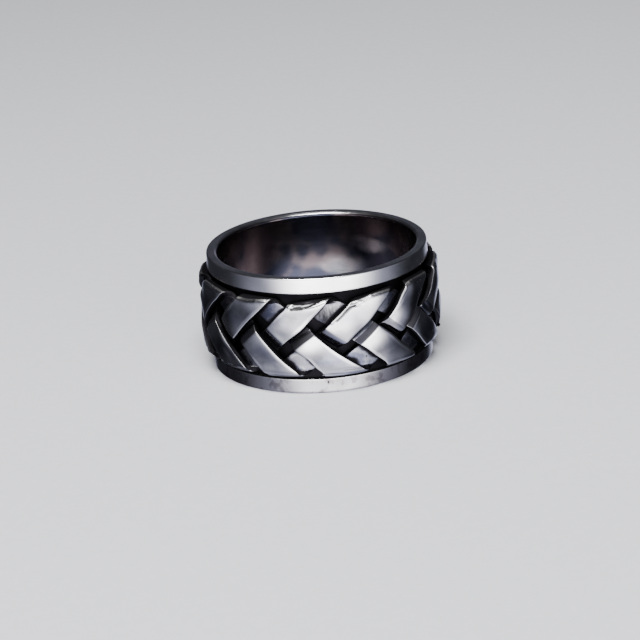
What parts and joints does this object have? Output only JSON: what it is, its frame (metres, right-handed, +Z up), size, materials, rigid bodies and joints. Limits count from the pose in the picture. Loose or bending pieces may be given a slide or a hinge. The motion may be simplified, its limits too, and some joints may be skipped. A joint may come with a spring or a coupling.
{
  "type": "braided band ring",
  "caption": "Wide silver finger ring with two raised rails and a plait of flat strips, folded at both edges, standing in the blackened channel between them.",
  "frame": {"origin": "on the bore's axis, in the plane of the rim that the ring lies on", "axes": "+Z up along the bore's axis, -Y towards the front"},
  "size_m": [0.0232, 0.0232, 0.0113],
  "materials": {
    "band_silver": "polished silver with fine scratches, blackened in the channel",
    "plait_silver": "polished silver on top, blackened in the gaps and underneath"
  },
  "bodies": {
    "root": {"band": "band_silver", "strip_a": "plait_silver", "strip_b": "plait_silver", "strip_c": "plait_silver"}
  },
  "joints": []
}
